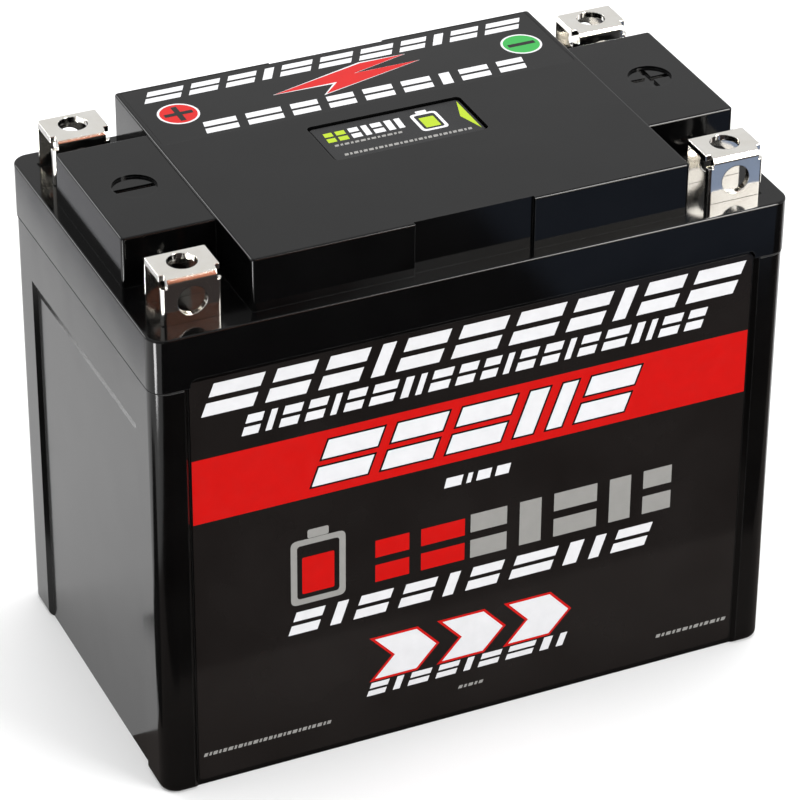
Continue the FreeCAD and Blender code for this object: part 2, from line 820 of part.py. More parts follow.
def riser_strip(path, y):
    """Strap folded along (x, z) points, standing at a place along Y."""
    turned = folded_strip(path, BUS_THICKNESS, -STRAP_WIDTH / 2, STRAP_WIDTH / 2)
    turned.rotate(vec(0, 0, 0), Z_AXIS, -90)
    turned.translate(vec(0, y, 0))
    return turned


def make_positive_bus():
    """Strip to both right terminals with a strap down to the cells."""
    strip_edge = TERMINAL_X - BUS_WIDTH / 2
    half = BUS_THICKNESS / 2
    drop = strip_edge - RISER_SETBACK
    path = [
        (strip_edge + OVERRUN, BOARD_BOTTOM - half),
        (drop, BOARD_BOTTOM - half),
        (drop, LINK_TOP + half),
        (GROUP_X[-1] + RISER_FOOT, LINK_TOP + half),
    ]
    return join([bus_strip(1), riser_strip(path, 0.0)])


def make_negative_bus():
    """Strip to both left terminals with an arm to the control board."""
    strip_edge = TERMINAL_X - BUS_WIDTH / 2
    arm = block(
        -strip_edge - OVERRUN,
        -BOARD_LENGTH / 2 + LUG_LAP,
        STRAP_Y - STRAP_WIDTH / 2,
        STRAP_Y + STRAP_WIDTH / 2,
        BUS_BOTTOM,
        BOARD_BOTTOM,
    )
    return cut(join([bus_strip(-1), arm]), [lug_hole(STRAP_Y)])


def lug_hole(y):
    """Screw hole through a strap and the board."""
    return post(LUG_HOLE_RADIUS, BUS_BOTTOM - OVERRUN, BOARD_TOP + OVERRUN, LUG_X, y)


def make_negative_strap():
    """Strap from the cells up to the control board."""
    half = BUS_THICKNESS / 2
    drop = TERMINAL_X - BUS_WIDTH / 2 - RISER_SETBACK
    path = [
        (-BOARD_LENGTH / 2 + LUG_LAP, BOARD_BOTTOM - half),
        (-drop, BOARD_BOTTOM - half),
        (-drop, LINK_TOP + half),
        (GROUP_X[0] - RISER_FOOT, LINK_TOP + half),
    ]
    return cut(riser_strip(path, -STRAP_Y), [lug_hole(-STRAP_Y)])


def make_circuit_board():
    """Control board with holes for screws and button pins."""
    corner = 2.0
    screw_hole_radius = 1.6
    pin_clearance = 0.4
    board = rounded_block(BOARD_LENGTH, BOARD_WIDTH, BOARD_BOTTOM, BOARD_TOP, corner)
    through = (BOARD_BOTTOM - OVERRUN, BOARD_TOP + OVERRUN)
    holes = [post(screw_hole_radius, *through, x, y) for x, y in four_corners(BOSS_X, BOSS_Y)]
    for side in (-1, 1):
        holes.append(post(BUTTON_PIN_RADIUS + pin_clearance, *through, side * BUTTON_PIN_X))
        holes.append(lug_hole(side * STRAP_Y))
    return cut(board, holes)


def mosfet_places():
    """Two rows of four power transistors under the board."""
    pitch = 14.0
    row_y = 13.5
    return [(pitch * (column - 1.5), row * row_y) for column in range(4) for row in (-1, 1)]


def make_mosfets():
    """Power transistors with a metal tab and three leads."""
    body_length = 10.0
    body_width = 8.6
    lift = 0.1
    tab_length = 9.6
    tab_width = 1.6
    tab_thickness = 1.3
    tab_y = 5.0
    lead_width = 0.8
    lead_length = 3.0
    lead_thickness = 0.6
    lead_spacing = 2.5
    lead_y = -5.6
    top = BOARD_BOTTOM
    packages = []
    for x, y in mosfet_places():
        parts = [
            centred_block(body_length, body_width, top - MOSFET_HEIGHT, top - lift, x, y),
            centred_block(tab_length, tab_width, top - tab_thickness, top, x, y + tab_y),
        ]
        for shift in (-lead_spacing, 0, lead_spacing):
            parts.append(
                centred_block(
                    lead_width, lead_length, top - lead_thickness, top, x + shift, y + lead_y
                )
            )
        packages.append(join(parts))
    return Part.makeCompound(packages)


def make_thermal_pad():
    """Soft pad between the transistors and the spreader."""
    length = 56.0
    width = 38.0
    corner = 1.0
    top = BOARD_BOTTOM - MOSFET_HEIGHT
    return rounded_block(length, width, top - PAD_THICKNESS, top, corner)


def make_heat_spreader():
    """Aluminium plate that evens out the transistor heat."""
    length = 58.0
    width = 40.0
    corner = 2.0
    edge_round = 0.4
    top = SPREADER_BOTTOM + SPREADER_THICKNESS
    plate = rounded_block(length, width, SPREADER_BOTTOM, top, corner)
    return plate.makeFillet(edge_round, edges_at_height(plate, SPREADER_BOTTOM))


def flat_chip(x, y, size, height):
    """Square chip with legs along two sides."""
    lift = 0.1
    leg_pitch = 1.27
    leg_width = 0.5
    leg_length = 1.2
    leg_height = 0.6
    leg_y = size / 2 + leg_length / 3
    body = centred_block(size, size, BOARD_TOP + lift, BOARD_TOP + height, x, y)
    count = int(size // leg_pitch) - 1
    legs = []
    for index in range(count):
        leg_x = x + (index - (count - 1) / 2) * leg_pitch
        for place in (y - leg_y, y + leg_y):
            legs.append(
                centred_block(
                    leg_width, leg_length, BOARD_TOP, BOARD_TOP + leg_height, leg_x, place
                )
            )
    return join([body] + legs)


def make_control_chips():
    """One large and two small control chips."""
    chip_x = 26.0
    chip_y = 14.0
    large = 10.0
    small = 7.0
    height = 1.8
    return Part.makeCompound([
        flat_chip(-chip_x, chip_y, large, height),
        flat_chip(-chip_x, -chip_y, small, height),
        flat_chip(chip_x, -chip_y, small, height),
    ])


def make_balance_resistors():
    """Small surface resistors that bleed charge from full groups."""
    first_x = 21.0
    first_y = 10.0
    pitch = 5.0
    length = 3.2
    width = 1.6
    height = 0.7
    resistors = []
    for column in range(4):
        for row in range(3):
            x = first_x + pitch * column
            y = first_y + pitch * row
            resistors.append(centred_block(length, width, BOARD_TOP, BOARD_TOP + height, x, y))
    return Part.makeCompound(resistors)


def make_balance_connector():
    """Five-way socket at the rear edge of the board."""
    half = 7.5
    depth = 6.0
    height = 6.0
    way_width = 1.8
    way_depth = 5.0
    way_rise = 1.5
    way_y = BOARD_WIDTH / 2 - 0.5
    rear = BOARD_WIDTH / 2
    shell = block(-half, half, rear - depth, rear, BOARD_TOP, BOARD_TOP + height)
    opening = (BOARD_TOP + way_rise, BOARD_TOP + height - way_rise)
    ways = [
        centred_block(way_width, way_depth, *opening, lead_x(index), way_y) for index in range(5)
    ]
    return cut(shell, ways)


def lead_x(index):
    """The five leads leave the connector side by side."""
    return (index - 2) * LEAD_PITCH


def make_balance_leads():
    """One thin wire from each link plate to the connector."""
    socket_depth = 2.0
    wall_gap = 2.4
    socket_rise = 3.0
    side_gap = 1.4
    plate_inset = 3.0
    first_turn = 5.0
    turn_step = 1.6
    socket_y = BOARD_WIDTH / 2 - socket_depth
    wall_y = BOARD_WIDTH / 2 + wall_gap
    socket_z = BOARD_TOP + socket_rise
    top_z = LINK_TOP + LEAD_RADIUS
    side_y = HOLDER_WIDTH / 2 + side_gap
    low_z = CELL_BOTTOM - LINK_THICKNESS - LEAD_RADIUS
    plate_y = CELL_PITCH - plate_inset
    targets = [GROUP_X[0], -CELL_PITCH, 0.0, CELL_PITCH, GROUP_X[3]]
    leads = []
    for index, x in enumerate(targets):
        turn_z = LINK_TOP + first_turn + turn_step * abs(index - 2)
        run = [
            vec(lead_x(index), socket_y, socket_z),
            vec(lead_x(index), wall_y, socket_z),
            vec(lead_x(index), wall_y, turn_z),
        ]
        if x != 0.0:
            run.append(vec(x, wall_y, turn_z))
        if index % 2 == 0:
            run += [vec(x, plate_y, turn_z), vec(x, plate_y, top_z)]
        else:
            run += [
                vec(x, side_y, turn_z),
                vec(x, side_y, low_z),
                vec(x, plate_y, low_z),
            ]
        leads.append(wire_run(run, LEAD_RADIUS))
    return Part.makeCompound(leads)


def pan_screw(head, tip, shank_radius, head_radius, head_height):
    """Round-headed screw: the head sits behind the first point."""
    slot_width = 0.6
    slot_length = head_radius * 1.2
    slot_depth = head_height * 0.6
    direction = (tip - head).normalize()
    head_start = head - direction * head_height
    cap = cylinder(head_radius, head_start, head)
    place = FreeCAD.Placement(head_start, FreeCAD.Rotation(Z_AXIS, direction))
    cross = []
    for turn in (0, 90):
        slot = centred_block(slot_length, slot_width, -OVERLAP, slot_depth)
        slot.rotate(vec(0, 0, 0), Z_AXIS, turn)
        slot.Placement = place.multiply(slot.Placement)
        cross.append(slot)
    return join([cut(cap, cross), cylinder(shank_radius, head, tip)])


def make_board_screws():
    """Four screws that hold the board to the lid posts."""
    bite = 7.0
    shank_radius = 1.2
    head_radius = 2.8
    head_height = 1.8
    screws = []
    for x, y in four_corners(BOSS_X, BOSS_Y):
        head = vec(x, y, BOARD_BOTTOM)
        tip = vec(x, y, BOARD_TOP + bite)
        screws.append(pan_screw(head, tip, shank_radius, head_radius, head_height))
    return Part.makeCompound(screws)


def make_lug_screws():
    """Two screws and nuts that clamp the straps to the board."""
    reach = 3.0
    shank_radius = 1.4
    head_radius = 2.8
    head_height = 1.8
    nut_width = 5.5
    screws = []
    for y in (-STRAP_Y, STRAP_Y):
        head = vec(LUG_X, y, BUS_BOTTOM)
        tip = vec(LUG_X, y, BOARD_TOP + reach)
        screw = pan_screw(head, tip, shank_radius, head_radius, head_height)
        nut = hexagon(nut_width, vec(LUG_X, y, BOARD_TOP), vec(LUG_X, y, BOARD_TOP + NUT_HEIGHT))
        screws.append(join([screw, nut]))
    return Part.makeCompound(screws)


def make_terminal_screws():
    """Screws and nuts between the terminal tabs and the bus ears."""
    reach = 4.0
    nut_height = 3.0
    nut_width = 7.0
    shank_radius = 1.9
    head_radius = 3.6
    head_height = 2.4
    tab = TERMINAL_Y - TERMINAL_DEPTH / 2 + SHEET
    ear = TERMINAL_Y - TERMINAL_DEPTH / 2 - BUS_THICKNESS
    screws = []
    for sx, sy in four_corners(1, 1):
        x = sx * TERMINAL_X
        head = vec(x, sy * tab, TAB_HOLE_HEIGHT)
        tip = vec(x, sy * (ear - reach), TAB_HOLE_HEIGHT)
        nut_near = vec(x, sy * ear, TAB_HOLE_HEIGHT)
        nut_far = vec(x, sy * (ear - nut_height), TAB_HOLE_HEIGHT)
        screw = pan_screw(head, tip, shank_radius, head_radius, head_height)
        screws.append(join([screw, hexagon(nut_width, nut_near, nut_far)]))
    return Part.makeCompound(screws)


def make_insulation_sheet():
    """Card between the link plates and the foam."""
    length = 84.0
    side_margin = 4.0
    corner = 2.0
    width = HOLDER_WIDTH - 2 * side_margin
    return rounded_block(length, width, LINK_TOP, LINK_TOP + CARD_THICKNESS, corner)


def make_spacer_foam():
    """Foam that keeps the cells down."""
    length = 76.0
    width = 40.0
    corner = 2.0
    gap = 0.2
    bottom = LINK_TOP + CARD_THICKNESS
    return rounded_block(length, width, bottom, SPREADER_BOTTOM - gap, corner)


def make_base_foam():
    """Foam block that lifts the cells off the floor."""
    gap = 0.3
    corner = 2.0
    length = INNER_LENGTH - 2 * gap
    width = INNER_WIDTH - 2 * gap
    return rounded_block(length, width, CASE_FLOOR, LOWER_HOLDER_BOTTOM, corner)


def make_side_foams():
    """Foam slabs around the cell pack."""
    gap = 0.3
    wire_gap = 2.4
    top_margin = 2.0
    end_margin = 1.5
    low = LOWER_HOLDER_BOTTOM
    high = CELL_TOP - top_margin
    x_in = HOLDER_LENGTH / 2 + gap
    x_out = INNER_LENGTH / 2 - gap
    y_in = HOLDER_WIDTH / 2 + gap
    y_out = INNER_WIDTH / 2 - gap
    half = x_in - gap
    end_length = x_out - x_in
    end_width = 2 * (y_out - end_margin)
    end_x = (x_in + x_out) / 2
    return {
        "foam_front": block(-half, half, -y_out, -y_in, low, high),
        "foam_rear": block(-half, half, y_in + wire_gap, y_out, low, high),
        "foam_left": centred_block(end_length, end_width, low, high, -end_x),
        "foam_right": centred_block(end_length, end_width, low, high, end_x),
    }


def make_all():
    """Every node of the battery by name."""
    nodes = {
        "case": make_case(),
        "lid": make_lid(),
        "lid_seal": make_lid_seal(),
        "front_label": make_front_label(),
        "top_label": make_top_label(),
        "button": make_button(),
        "button_label": make_button_label(),
        "tact_switch": make_tact_switch(),
        "switch_plunger": make_switch_plunger(),
        "lower_cell_holder": make_lower_holder(),
        "upper_cell_holder": make_upper_holder(),
        "positive_bus": make_positive_bus(),
        "negative_bus": make_negative_bus(),
        "negative_strap": make_negative_strap(),
        "circuit_board": make_circuit_board(),
        "mosfets": make_mosfets(),
        "thermal_pad": make_thermal_pad(),
        "heat_spreader": make_heat_spreader(),
        "control_chips": make_control_chips(),
        "balance_resistors": make_balance_resistors(),
        "balance_connector": make_balance_connector(),
        "balance_leads": make_balance_leads(),
        "board_screws": make_board_screws(),
        "lug_screws": make_lug_screws(),
        "terminal_screws": make_terminal_screws(),
        "insulation_sheet": make_insulation_sheet(),
        "spacer_foam": make_spacer_foam(),
        "base_foam": make_base_foam(),
    }
    for side_x, side_name in ((-1, "left"), (1, "right")):
        for side_y, end_name in ((-1, "front"), (1, "rear")):
            nodes["terminal_%s_%s" % (end_name, side_name)] = make_terminal(side_x, side_y)
    nodes.update(make_cells())
    nodes.update(make_links())
    nodes.update(make_side_foams())
    return nodes


os.makedirs("parts", exist_ok=True)
for node, shape in make_all().items():
    shape.exportStep("parts/%s.step" % node)
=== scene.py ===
"""Looks for the lithium motorcycle battery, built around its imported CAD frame.

Metres, +Z up, the labelled front faces -Y. Printed marks are laid out in mm.
"""

import json
import math
from collections import namedtuple

import bmesh
import bpy
from mathutils import Matrix, Vector

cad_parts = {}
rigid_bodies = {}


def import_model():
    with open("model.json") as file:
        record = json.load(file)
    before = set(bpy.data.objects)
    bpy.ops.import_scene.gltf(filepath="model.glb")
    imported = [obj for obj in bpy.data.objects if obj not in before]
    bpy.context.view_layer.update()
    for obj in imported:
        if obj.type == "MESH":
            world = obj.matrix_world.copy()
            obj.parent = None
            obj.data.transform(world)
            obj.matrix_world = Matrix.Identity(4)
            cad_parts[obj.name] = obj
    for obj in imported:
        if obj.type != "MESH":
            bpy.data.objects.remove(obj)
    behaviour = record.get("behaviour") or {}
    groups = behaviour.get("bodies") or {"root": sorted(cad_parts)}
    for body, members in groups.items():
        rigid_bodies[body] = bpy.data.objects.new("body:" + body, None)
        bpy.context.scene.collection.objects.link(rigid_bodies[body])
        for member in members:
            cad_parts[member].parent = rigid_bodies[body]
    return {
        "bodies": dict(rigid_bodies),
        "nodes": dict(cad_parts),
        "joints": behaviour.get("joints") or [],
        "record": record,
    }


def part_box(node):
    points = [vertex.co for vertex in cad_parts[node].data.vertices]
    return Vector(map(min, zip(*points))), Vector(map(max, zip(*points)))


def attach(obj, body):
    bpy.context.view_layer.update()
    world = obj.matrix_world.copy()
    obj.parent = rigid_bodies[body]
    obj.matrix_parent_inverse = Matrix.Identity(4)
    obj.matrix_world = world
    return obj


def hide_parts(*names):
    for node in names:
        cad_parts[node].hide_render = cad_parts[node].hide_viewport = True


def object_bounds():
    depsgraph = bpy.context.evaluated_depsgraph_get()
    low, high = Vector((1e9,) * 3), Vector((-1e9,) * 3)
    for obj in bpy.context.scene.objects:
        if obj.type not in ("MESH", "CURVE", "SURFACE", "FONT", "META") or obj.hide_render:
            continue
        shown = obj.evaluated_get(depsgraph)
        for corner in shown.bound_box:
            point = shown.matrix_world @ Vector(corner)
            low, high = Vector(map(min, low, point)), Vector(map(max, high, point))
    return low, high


MM = 0.001

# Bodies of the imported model.
BODY = "battery"
BUTTON = "button"

# Finish of the plastics, films and metals.
PLASTIC_GLOSS = 0.27
PLASTIC_WEAR_RADIUS = 0.35 * MM
PIECE_WEAR_RADIUS = 0.2 * MM
METAL_WEAR_RADIUS = 0.25 * MM
SHEET_EDGE_ROUND = 0.3 * MM
SPARK_GRAIN_SCALE = 3200.0

# Printed ink. Gap and split width are in the units of a row's pattern, and the slit
# share is half the slit's height over the row's height.
PRINT_THICKNESS = 0.02 * MM
BLOCK_GAP = 0.35
SPLIT_WIDTH = 0.7
SLIT_SHARE = 0.09
CIRCLE_STEPS = 64
CORNER_STEPS = 5

# Near-black strip of painted shade in the joint under the lid, standing in for the joint's shadow.
CASE_CORNER = 4.0 * MM
ARC_STEPS = 8
SHADE_STRIP_HEIGHT = 0.45 * MM
SHADE_STRIP_STANDOUT = 0.15 * MM
SHADE_STRIP_SETBACK = 1.5 * MM

# Soft pieces. A thin slab is rounded by at most a share of half its thickness.
SLAB_CUTS = 11
SLAB_DISH = 0.012
THIN_SLAB_ROUND = 0.9
FOAM_ROUND = 1.5 * MM
PAD_ROUND = 0.2 * MM

# Studio, in metres; cards on the floor lie in layers one step apart.
FLOOR_REACH = 6.0
FLOOR_GREY = 0.88
FLOOR_GLOW = 0.1
ROOM_BRIGHTNESS = 0.76
CARD_STEP = 0.2 * MM


# ---------------------------------------------------------------- materials

class Graph:
    """A node material with short calls for adding and joining nodes."""

    def __init__(self, name):
        self.material = bpy.data.materials.new(name)
        self.material.use_nodes = True
        self.tree = self.material.node_tree
        self.shader = self.tree.nodes["Principled BSDF"]
        self.place = self.node("ShaderNodeTexCoord").outputs["Object"]

    def node(self, kind, **settings):
        """A new node with some of its settings."""
        made = self.tree.nodes.new(kind)
        for key, value in settings.items():
            setattr(made, key, value)
        return made

    def join(self, source, target):
        """Links an output to an input."""
        self.tree.links.new(source, target)

    def stretched(self, scale):
        """Object coordinates stretched along some axes."""
        mapping = self.node("ShaderNodeMapping")
        mapping.inputs["Scale"].default_value = scale
        self.join(self.place, mapping.inputs["Vector"])
        return mapping.outputs["Vector"]

    def noise(self, scale, detail=4.0, rough=0.55, distortion=0.0, place=None):
        """Cloudy value about one half."""
        made = self.node("ShaderNodeTexNoise")
        made.inputs["Scale"].default_value = scale
        made.inputs["Detail"].default_value = detail
        made.inputs["Roughness"].default_value = rough
        made.inputs["Distortion"].default_value = distortion
        self.join(place or self.place, made.inputs["Vector"])
        return made.outputs["Fac"]

    def spots(self, scale):
        """Distance to the nearest of many scattered points."""
        made = self.node("ShaderNodeTexVoronoi")
        made.inputs["Scale"].default_value = scale
        self.join(self.place, made.inputs["Vector"])
        return made.outputs["Distance"]

    def spread(self, source, low, high, start=0.3, end=0.7):
        """A value moved from one range to another."""
        made = self.node("ShaderNodeMapRange")
        made.inputs["From Min"].default_value = start
        made.inputs["From Max"].default_value = end
        made.inputs["To Min"].default_value = low
        made.inputs["To Max"].default_value = high
        self.join(source, made.inputs["Value"])
        return made.outputs["Result"]

    def combined(self, first, second, operation="ADD"):
        """Two values added, or joined by another operation."""
        made = self.node("ShaderNodeMath", operation=operation)
        self.join(first, made.inputs[0])
        self.join(second, made.inputs[1])
        return made.outputs[0]

    def mix(self, factor, first, second):
        """A colour between two others; each is a colour or an output."""
        made = self.node("ShaderNodeMix", data_type="RGBA")
        self.join(factor, made.inputs["Factor"])
        for value, socket in ((first, made.inputs["A"]), (second, made.inputs["B"])):
            if isinstance(value, bpy.types.NodeSocket):
                self.join(value, socket)
            else:
                socket.default_value = (*value, 1.0)
        return made.outputs["Result"]

    def edges(self, radius):
        """One along sharp edges and nought on open faces."""
        bevel = self.node("ShaderNodeBevel", samples=4)
        bevel.inputs["Radius"].default_value = radius
        geometry = self.node("ShaderNodeNewGeometry")
        dot = self.node("ShaderNodeVectorMath", operation="DOT_PRODUCT")
        self.join(bevel.outputs["Normal"], dot.inputs[0])
        self.join(geometry.outputs["Normal"], dot.inputs[1])
        return self.spread(dot.outputs["Value"], 1.0, 0.0, 0.8, 0.99)

    def bump(self, heights, rounding=0.0):
        """Surface relief from (height, depth in metres) pairs, over softened edges."""
        normal = None
        if rounding > 0.0:
            soft = self.node("ShaderNodeBevel", samples=6)
            soft.inputs["Radius"].default_value = rounding
            normal = soft.outputs["Normal"]
        for height, depth in heights:
            made = self.node("ShaderNodeBump")
            made.inputs["Strength"].default_value = 1.0
            made.inputs["Distance"].default_value = depth
            self.join(height, made.inputs["Height"])
            if normal is not None:
                self.join(normal, made.inputs["Normal"])
            normal = made.outputs["Normal"]
        self.join(normal, self.shader.inputs["Normal"])

    def colour(self, output):
        """Drives the shader's base colour."""
        self.join(output, self.shader.inputs["Base Color"])

    def roughness(self, output):
        """Drives the shader's roughness."""
        self.join(output, self.shader.inputs["Roughness"])


def lighter(colour, amount):
    """The colour moved towards white."""
    return tuple(channel + (1.0 - channel) * amount for channel in colour)


def darker(colour, factor):
    """The colour scaled down."""
    return tuple(channel * factor for channel in colour)


def moulded_plastic(name, colour, rough, grain_depth, wave_depth):
    """Injection-moulded plastic: fine spark grain, slow waves, dust and rubbed edges."""
    g = Graph(name)
    blotch = g.noise(45.0, detail=3.0)
    g.shader.inputs["Specular IOR Level"].default_value = PLASTIC_GLOSS
    body = g.mix(g.spread(blotch, 0.0, 1.0), darker(colour, 0.7), lighter(colour, 0.001))
    dust = g.spread(g.noise(900.0, detail=6.0, rough=0.7), 0.0, 1.0, 0.62, 0.8)
    body = g.mix(g.combined(dust, g.noise(20.0), "MULTIPLY"), body, lighter(colour, 0.012))
    edge = g.edges(PLASTIC_WEAR_RADIUS)
    broken = g.combined(edge, g.spread(g.noise(500.0), 0.2, 1.0), "MULTIPLY")
    g.colour(g.mix(broken, body, lighter(colour, 0.03)))
    smudge = g.spread(g.noise(70.0, detail=5.0, distortion=0.6), rough * 0.85, rough * 1.2)
    g.roughness(g.combined(smudge, g.spread(dust, 0.0, 0.1, 0.0, 1.0)))
    waves = g.noise(55.0, detail=1.0)
    grain = g.noise(SPARK_GRAIN_SCALE, detail=2.0)
    g.bump([(waves, wave_depth), (grain, grain_depth)])
    return g.material


def gloss_case():
    """Polished black moulding of the case."""
    colour = (0.0019, 0.0017, 0.0016)
    return moulded_plastic("case_gloss", colour, 0.14, 0.002 * MM, 0.05 * MM)


def satin_lid():
    """Black lid with a fine spark-eroded grain."""
    colour = (0.0015, 0.0015, 0.0016)
    return moulded_plastic("lid_satin", colour, 0.10, 0.002 * MM, 0.03 * MM)


def satin_button():
    """Duller black moulding of the push plate."""
    colour = (0.006, 0.006, 0.0065)
    return moulded_plastic("button_satin", colour, 0.3, 0.006 * MM, 0.01 * MM)


def film(name, colour, rough):
    """Smooth printed film with faint orange peel and hairline scratches."""
    g = Graph(name)
    g.shader.inputs["Specular IOR Level"].default_value = PLASTIC_GLOSS
    blotch = g.spread(g.noise(35.0, detail=3.0), 0.0, 1.0)
    g.colour(g.mix(blotch, darker(colour, 0.8), lighter(colour, 0.003)))
    hair = g.noise(220.0, detail=5.0, rough=0.7, place=g.stretched((1.0, 1.0, 14.0)))
    g.roughness(g.spread(hair, rough * 0.8, rough * 1.5))
    g.bump([(g.noise(160.0, detail=2.0), 0.006 * MM), (g.noise(1500.0), 0.0008 * MM)])
    return g.material


def front_film():
    """Warm black film of the large front label."""
    return film("front_film", (0.0092, 0.0074, 0.0068), 0.09)


def hood_film():
    """Deep black film on the hood."""
    return film("hood_film", (0.0026, 0.0026, 0.0027), 0.10)


def button_film():
    """Duller dark film on the push plate."""
    return film("button_film", (0.012, 0.0122, 0.013), 0.25)


def ink(name, colour):
    """Screen-printed ink: slightly uneven cover with a fine mesh texture."""
    g = Graph(name)
    cover = g.spread(g.noise(260.0, detail=5.0), 0.0, 1.0)
    g.shader.inputs["Specular IOR Level"].default_value = PLASTIC_GLOSS
    g.colour(g.mix(cover, darker(colour, 0.93), colour))
    g.roughness(g.spread(g.noise(400.0, detail=4.0), 0.12, 0.2))
    g.bump([(g.spots(5200.0), 0.0012 * MM)])
    return g.material


def plated_terminal():
    """Bright nickel plating over a punched plate, with rolling lines and rubbed edges."""
    g = Graph("terminal_plating")
    tint = g.spread(g.noise(160.0, detail=4.0), 0.0, 1.0)
    colour = g.mix(tint, (0.88, 0.85, 0.79), (0.95, 0.935, 0.89))
    colour = g.mix(g.edges(METAL_WEAR_RADIUS), colour, (0.97, 0.96, 0.94))
    g.colour(colour)
    lines = g.noise(900.0, detail=6.0, rough=0.65, place=g.stretched((1.0, 12.0, 12.0)))
    g.roughness(g.spread(lines, 0.05, 0.15))
    g.shader.inputs["Metallic"].default_value = 1.0
    pits = g.spread(g.spots(1500.0), 0.0, 1.0, 0.0, 0.35)
    relief = [(lines, 0.0018 * MM), (pits, 0.001 * MM), (g.noise(120.0), 0.02 * MM)]
    g.bump(relief, SHEET_EDGE_ROUND)
    return g.material


def plain_metal(name, colour, low, high, lines=(1.0, 1.0, 10.0)):
    """Metal with rolling lines, tarnish and bright edges."""
    g = Graph(name)
    tarnish = g.spread(g.noise(90.0, detail=5.0), 0.0, 1.0)
    body = g.mix(tarnish, darker(colour, 0.75), colour)
    g.colour(g.mix(g.edges(PIECE_WEAR_RADIUS), body, lighter(colour, 0.3)))
    grain = g.noise(700.0, detail=5.0, place=g.stretched(lines))
    g.roughness(g.spread(grain, low, high))
    g.shader.inputs["Metallic"].default_value = 1.0
    g.bump([(grain, 0.003 * MM)])
    return g.material


def closed_cell_foam():
    """Dark foam with small burst bubbles."""
    g = Graph("closed_cell_foam")
    bubbles = g.spots(900.0)
    wall_share = g.spread(bubbles, 0.0, 1.0, 0.0, 0.6)
    g.colour(g.mix(wall_share, (0.012, 0.012, 0.013), (0.05, 0.05, 0.052)))
    g.roughness(g.spread(g.noise(300.0), 0.8, 0.95))
    g.bump([(bubbles, 0.25 * MM), (g.noise(80.0), 0.3 * MM)])
    return g.material


def plain_plastic(name, colour, rough):
    """Dull engineering plastic for pieces inside the case."""
    g = Graph(name)
    tone = g.spread(g.noise(60.0, detail=4.0), 0.0, 1.0)
    body = g.mix(tone, darker(colour, 0.8), colour)
    g.colour(g.mix(g.edges(PIECE_WEAR_RADIUS), body, lighter(colour, 0.12)))
    g.roughness(g.spread(g.noise(250.0, detail=4.0), rough * 0.85, rough * 1.15))
    g.bump([(g.noise(2500.0, detail=2.0), 0.006 * MM)])
    return g.material


def circuit_board_green():
    """Solder mask with copper tracks that show through it."""
    g = Graph("circuit_board_green")
    tracks = g.node("ShaderNodeTexBrick", offset=0.35, squash=0.6)
    tracks.inputs["Scale"].default_value = 130.0
    tracks.inputs["Mortar Size"].default_value = 0.05
    tracks.inputs["Color1"].default_value = (0.005, 0.085, 0.028, 1.0)
    tracks.inputs["Color2"].default_value = (0.004, 0.065, 0.022, 1.0)
    tracks.inputs["Mortar"].default_value = (0.02, 0.19, 0.06, 1.0)
    g.join(g.place, tracks.inputs["Vector"])
    stain = g.spread(g.noise(120.0), 0.0, 0.25)
    g.colour(g.mix(stain, tracks.outputs["Color"], (0.01, 0.05, 0.02)))
    g.roughness(g.spread(g.noise(500.0), 0.25, 0.4))
    g.bump([(tracks.outputs["Fac"], 0.02 * MM)])
    return g.material


# ------------------------------------------------------- dressing CAD nodes

def dress(frame, material, *names):
    """Puts one material on CAD nodes."""
    for name in names:
        data = frame["nodes"][name].data
        data.materials.clear()
        data.materials.append(material)


def names_starting(frame, *starts):
    """Names of the CAD nodes that start in one of these ways, in order."""
    return [name for name in sorted(frame["nodes"]) if name.startswith(starts)]


def dress_outside(frame):
    """Materials of everything that shows."""
    dress(frame, gloss_case(), "case")
    dress(frame, satin_lid(), "lid")
    dress(frame, front_film(), "front_label")
    dress(frame, hood_film(), "top_label")
    dress(frame, satin_button(), "button")
    dress(frame, button_film(), "button_label")
    dress(frame, plated_terminal(), *names_starting(frame, "terminal_front", "terminal_rear"))


def dress_inside(frame):
    """Materials of everything inside the case and lid."""
    nickel = plain_metal("nickel_strip", (0.72, 0.69, 0.63), 0.2, 0.4)
    dress(frame, nickel, *names_starting(frame, "link_plate", "negative_plate", "positive_plate"))
    wrap = plain_metal("cell_can", (0.50, 0.53, 0.58), 0.25, 0.4)
    dress(frame, wrap, *names_starting(frame, "cell_"))
    copper = plain_metal("busbar_copper", (0.80, 0.36, 0.20), 0.2, 0.45, (10.0, 1.0, 10.0))
    dress(frame, copper, "positive_bus", "negative_bus", "negative_strap")
    zinc = plain_metal("zinc_screws", (0.68, 0.69, 0.70), 0.2, 0.35)
    dress(frame, zinc, "board_screws", "lug_screws", "terminal_screws")
    dress(frame, plain_metal("spreader_aluminium", (0.75, 0.76, 0.78), 0.25, 0.4), "heat_spreader")
    holder = plain_plastic("holder_plastic", (0.03, 0.03, 0.034), 0.5)
    dress(frame, holder, "lower_cell_holder", "upper_cell_holder")
    chips = plain_plastic("chip_epoxy", (0.015, 0.015, 0.016), 0.45)
    dress(frame, chips, "mosfets", "control_chips", "balance_resistors", "tact_switch")
    dress(frame, plain_plastic("plunger_plastic", (0.5, 0.5, 0.48), 0.4), "switch_plunger")
    dress(frame, plain_plastic("connector_nylon", (0.75, 0.73, 0.66), 0.45), "balance_connector")
    dress(frame, plain_plastic("lead_insulation", (0.45, 0.02, 0.02), 0.4), "balance_leads")
    dress(frame, plain_plastic("insulation_card", (0.10, 0.22, 0.16), 0.75), "insulation_sheet")
    dress(frame, plain_plastic("sealant", (0.03, 0.03, 0.03), 0.6), "lid_seal")
    dress(frame, circuit_board_green(), "circuit_board")


# ------------------------------------------------------------- printed marks

def on_front(surface):
    """Places on the front film: mm across, mm up, metres out."""
    return lambda u, v, w: Vector((u * MM, surface - w, v * MM))


def on_top(surface):
    """Places on a film that faces up: mm across, mm back, metres up."""
    return lambda u, v, w: Vector((u * MM, v * MM, surface + w))


